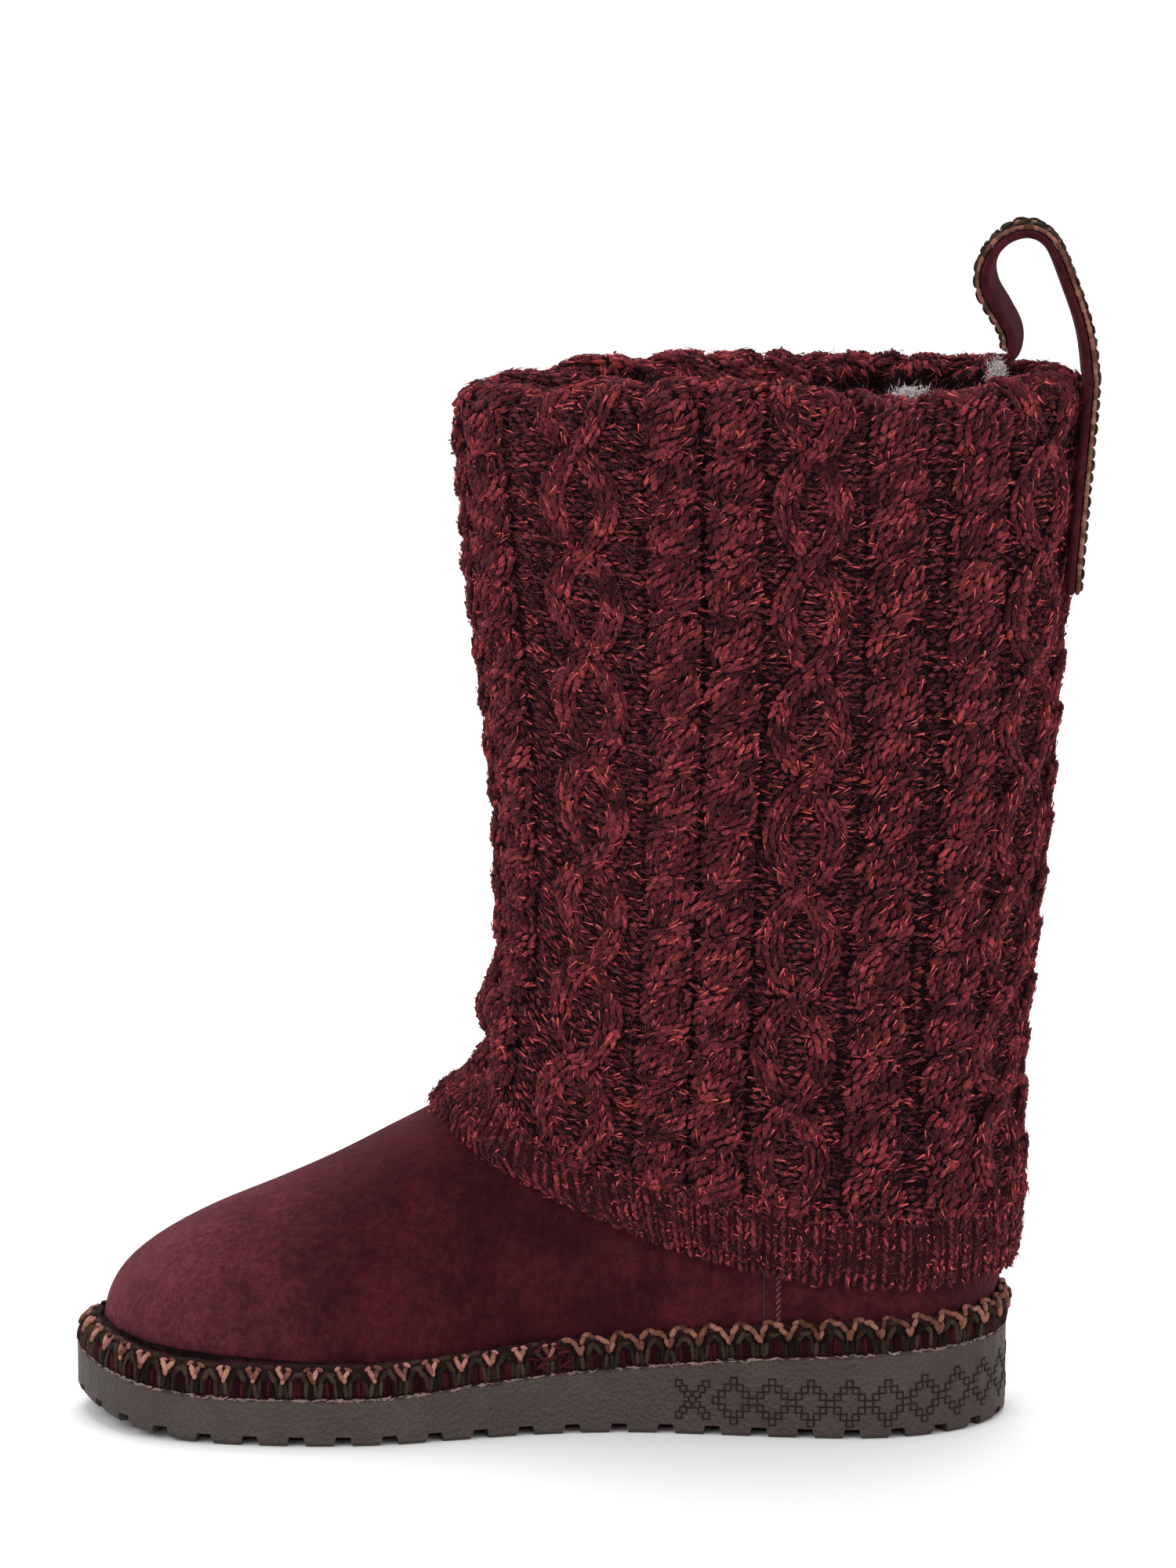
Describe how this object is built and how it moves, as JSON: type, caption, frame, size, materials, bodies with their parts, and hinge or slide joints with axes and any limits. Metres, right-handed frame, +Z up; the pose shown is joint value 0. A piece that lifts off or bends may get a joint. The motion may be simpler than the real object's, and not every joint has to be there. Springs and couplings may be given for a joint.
{
  "type": "boot",
  "caption": "Slip-on mid-calf boot: hollow suede foot, cable-knit sleeve folded over the collar, braid round the welt, foam sole with edge notches, pull loop at the back.",
  "frame": {"origin": "on the floor, at the middle of the sole's length, in the sole's flat underside (mount sole_underside)", "axes": "+X from toe to heel, +Y from the foot's inner side to its outer side, +Z up from the floor to the collar"},
  "size_m": [0.3047, 0.1005, 0.3594],
  "materials": {
    "sole_foam": "matt grey-brown moulded foam with a fine leather-like grain",
    "insole_felt": "pale felted footbed",
    "burgundy_suede": "dark burgundy microsuede with a soft pinkish nap",
    "marled_knit": "marled burgundy, red and near-black wool in a chunky cable knit",
    "braid_yarn": "three-colour crocheted yarn: burgundy, dark olive and peach",
    "strap_suede": "burgundy suede strap",
    "loop_ribbon": "woven ribbon in peach and dark olive yarn"
  },
  "bodies": {
    "root": {"outsole": "sole_foam", "insole": "insole_felt", "upper": "burgundy_suede", "knit_sleeve": "marled_knit", "welt_braid": "braid_yarn", "pull_loop": "strap_suede", "loop_ribbon": "loop_ribbon"}
  },
  "joints": []
}
